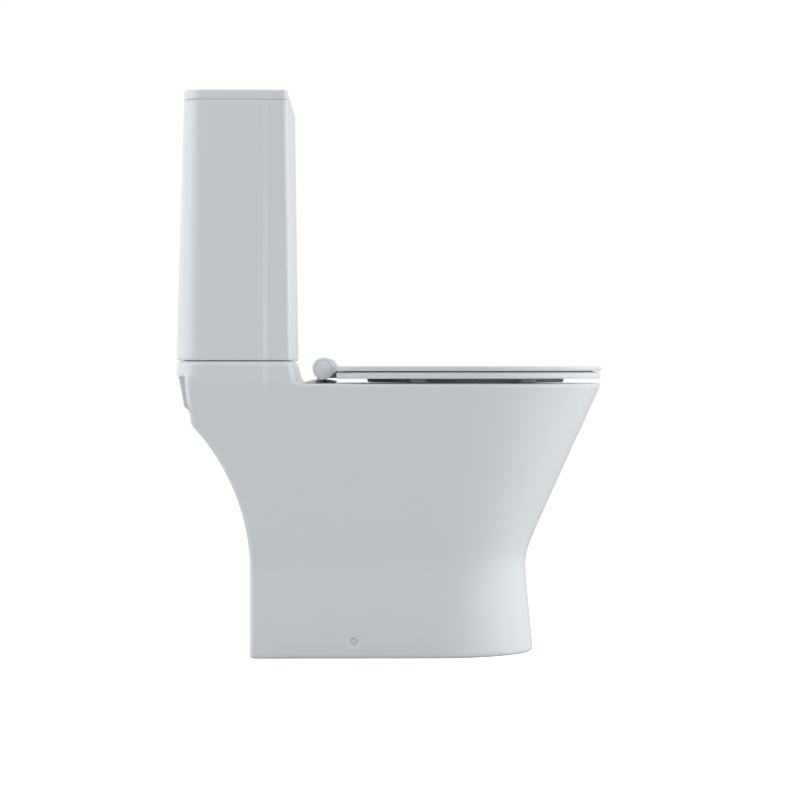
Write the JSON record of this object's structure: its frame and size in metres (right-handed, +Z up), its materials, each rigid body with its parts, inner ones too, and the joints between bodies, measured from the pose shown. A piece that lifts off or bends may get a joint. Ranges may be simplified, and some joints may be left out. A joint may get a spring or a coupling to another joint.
{
  "type": "close coupled toilet",
  "caption": "Floor standing close coupled toilet: ceramic pan with a rear shelf, cistern with a push button lid, hinged seat and lid.",
  "frame": {"origin": "middle of the footprint box, on the floor", "axes": "+Z up, -Y towards the front of the bowl, +Y towards the wall, +X towards the left hand of someone sitting on the seat"},
  "size_m": [0.37, 0.624, 0.821],
  "materials": {
    "glaze": "glossy white glaze",
    "seat_plastic": "smooth hard white",
    "white_plastic": "moulded white",
    "blue_plastic": "moulded pale blue",
    "chrome": "polished",
    "steel": "bright zinc plated",
    "brass": "plain",
    "rubber": "dull black",
    "pale_rubber": "pale translucent"
  },
  "bodies": {
    "bowl_and_cistern": {"pan": "glaze", "bowl": "glaze", "flush_duct": "glaze", "trapway": "glaze", "cistern_pad": "rubber", "cistern": "glaze", "flush_valve_body": "white_plastic", "flush_valve_cap": "blue_plastic", "flush_valve_washer": "rubber", "flush_back_nut": "white_plastic", "coupling_gasket": "rubber", "fill_valve_body": "white_plastic", "fill_valve_washer": "rubber", "fill_valve_nut": "white_plastic", "hinge_pillar_left": "chrome", "hinge_rosette_left": "chrome", "hinge_damper_left": "steel", "hinge_bolt_left": "brass", "hinge_washer_left": "pale_rubber", "hinge_nut_left": "white_plastic", "coupling_bolt_left": "steel", "coupling_washer_left": "rubber", "wing_nut_left": "brass", "floor_bracket_left": "white_plastic", "floor_screw_left": "steel", "side_screw_left": "steel", "side_cap_left": "white_plastic", "hinge_pillar_right": "chrome", "hinge_rosette_right": "chrome", "hinge_damper_right": "steel", "hinge_bolt_right": "brass", "hinge_washer_right": "pale_rubber", "hinge_nut_right": "white_plastic", "coupling_bolt_right": "steel", "coupling_washer_right": "rubber", "wing_nut_right": "brass", "floor_bracket_right": "white_plastic", "floor_screw_right": "steel", "side_screw_right": "steel", "side_cap_right": "white_plastic"},
    "cistern_cover": {"cistern_lid": "glaze", "button_housing": "chrome", "button_housing_nut": "white_plastic"},
    "full_button": {"full_flush_button": "chrome"},
    "half_button": {"half_flush_button": "chrome"},
    "valve_lift": {"flush_lift_tube": "blue_plastic", "flush_seal": "rubber"},
    "float_unit": {"float_arm": "white_plastic", "float": "blue_plastic"},
    "seat": {"seat_ring": "seat_plastic", "seat_buffer_rear_left": "pale_rubber", "seat_buffer_rear_right": "pale_rubber", "seat_buffer_front_left": "pale_rubber", "seat_buffer_front_right": "pale_rubber"},
    "lid": {"seat_lid": "seat_plastic", "lid_buffer_rear_left": "pale_rubber", "lid_buffer_rear_right": "pale_rubber", "lid_buffer_front_left": "pale_rubber", "lid_buffer_front_right": "pale_rubber"}
  },
  "joints": [
    {"name": "cistern_lid_lift", "type": "slide", "parent": "bowl_and_cistern", "child": "cistern_cover", "axis": [0, 0, 1], "range_m": [0, 0.16]},
    {"name": "full_flush_press", "type": "slide", "parent": "cistern_cover", "child": "full_button", "axis": [0, 0, -1], "range_m": [0, 0.006], "stiffness_N_per_m": 800, "springref_m": -0.004},
    {"name": "half_flush_press", "type": "slide", "parent": "cistern_cover", "child": "half_button", "axis": [0, 0, -1], "range_m": [0, 0.006], "stiffness_N_per_m": 800, "springref_m": -0.004},
    {"name": "valve_rise", "type": "slide", "parent": "bowl_and_cistern", "child": "valve_lift", "axis": [0, 0, 1], "range_m": [0, 0.012]},
    {"name": "float_rise", "type": "hinge", "parent": "bowl_and_cistern", "child": "float_unit", "pos_m": [0.13, 0.234, 0.653], "axis": [-1, 0, 0], "range_deg": [0, 25]},
    {"name": "seat_hinge", "type": "hinge", "parent": "bowl_and_cistern", "child": "seat", "pos_m": [0, 0.1025, 0.4218], "axis": [-1, 0, 0], "range_deg": [0, 94]},
    {"name": "lid_hinge", "type": "hinge", "parent": "seat", "child": "lid", "pos_m": [0, 0.1025, 0.4218], "axis": [1, 0, 0], "range_deg": [-95, 0]}
  ],
  "couplings": [
    {"joint": "valve_rise", "follows": "full_flush_press", "ratio": 2}
  ]
}
